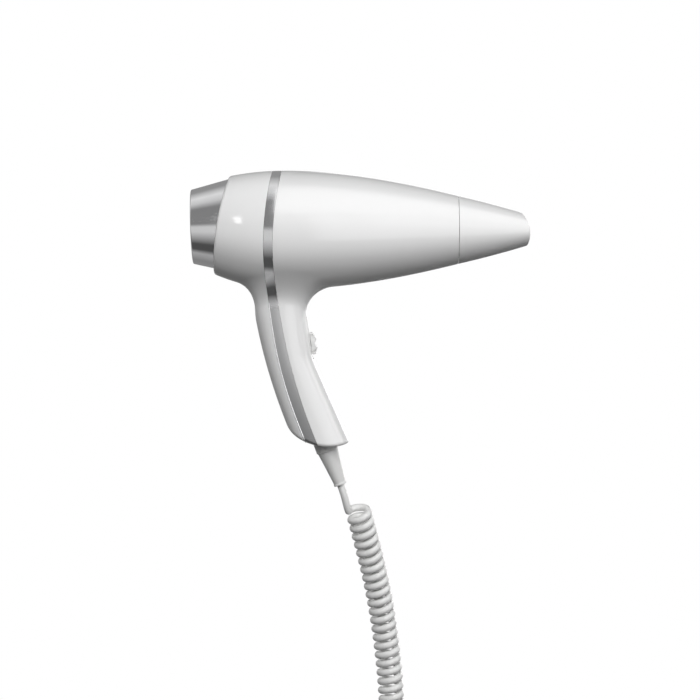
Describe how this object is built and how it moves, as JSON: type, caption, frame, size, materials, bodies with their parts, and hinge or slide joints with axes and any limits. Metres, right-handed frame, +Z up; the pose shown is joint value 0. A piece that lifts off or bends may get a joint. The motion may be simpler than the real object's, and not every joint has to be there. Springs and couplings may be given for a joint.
{
  "type": "hair dryer",
  "caption": "Gun-shaped hair dryer with plated intake cap and trim band, turning nozzle, slide switch and curly mains lead.",
  "frame": {"origin": "middle of the hand grip", "axes": "+X along the barrel, the way the air blows; +Z up from the grip to the barrel; +Y across the dryer"},
  "size_m": [0.2359, 0.0894, 0.584],
  "materials": {
    "black_plastic": "matt",
    "board_green": "satin",
    "bush_bronze": "sintered",
    "carbon": "matt",
    "ceramic": "matt",
    "copper": "enamelled wire",
    "cord_white": "satin",
    "dark_plastic": "matt",
    "duct_plastic": "satin",
    "fan_plastic": "satin",
    "filter_mesh": "woven",
    "fuse_metal": "satin",
    "heater_wire": "oxidised",
    "magnet_ferrite": "matt",
    "mica": "satin",
    "motor_steel": "zinc plated",
    "pin_metal": "nickel plated",
    "plated_trim": "polished",
    "screw_steel": "zinc plated",
    "switch_grey": "satin",
    "white_gloss": "gloss",
    "white_moulding": "satin",
    "wire_blue": "satin"
  },
  "bodies": {
    "housing": {"rear_housing": "white_gloss", "front_housing": "white_gloss", "trim_band": "plated_trim", "rear_cap": "plated_trim", "intake_grille": "dark_plastic", "lint_filter": "filter_mesh", "outlet_grille": "black_plastic", "fan_duct": "duct_plastic", "motor_can": "motor_steel", "motor_end_cap": "dark_plastic", "motor_magnets": "magnet_ferrite", "motor_bushes": "bush_bronze", "motor_brushes": "carbon", "rectifier_board": "board_green", "mica_sleeve": "mica", "heater_coils": "heater_wire", "heater_frame": "mica", "thermostat": "ceramic", "thermal_fuse": "fuse_metal", "terminal_block": "ceramic", "switch_bezel": "switch_grey", "switch_body": "black_plastic", "capacitor": "board_green", "strain_relief": "cord_white", "lead_end": "cord_white", "cord_clamp": "white_moulding", "clamp_screws": "screw_steel", "supply_wires": "wire_blue", "motor_wires": "wire_blue", "housing_screws": "screw_steel", "cord_lead": "cord_white", "cord_coil": "cord_white", "cord_tail": "cord_white", "plug_body": "cord_white", "plug_pins": "pin_metal"},
    "nozzle": {"nozzle": "white_gloss"},
    "switch": {"switch_knob": "white_moulding"},
    "rotor": {"motor_shaft": "motor_steel", "armature_core": "motor_steel", "armature_windings": "copper", "commutator": "copper", "impeller": "fan_plastic"}
  },
  "joints": [
    {"name": "nozzle_turn", "type": "hinge", "parent": "housing", "child": "nozzle", "pos_m": [0.115, 0, 0.0984], "axis": [1, 0, 0], "continuous": true},
    {"name": "switch_slide", "type": "slide", "parent": "housing", "child": "switch", "axis": [-0.1348, 0, 0.9909], "range_m": [0, 0.008]},
    {"name": "rotor_spin", "type": "hinge", "parent": "housing", "child": "rotor", "pos_m": [0, 0, 0.0984], "axis": [1, 0, 0], "continuous": true}
  ]
}
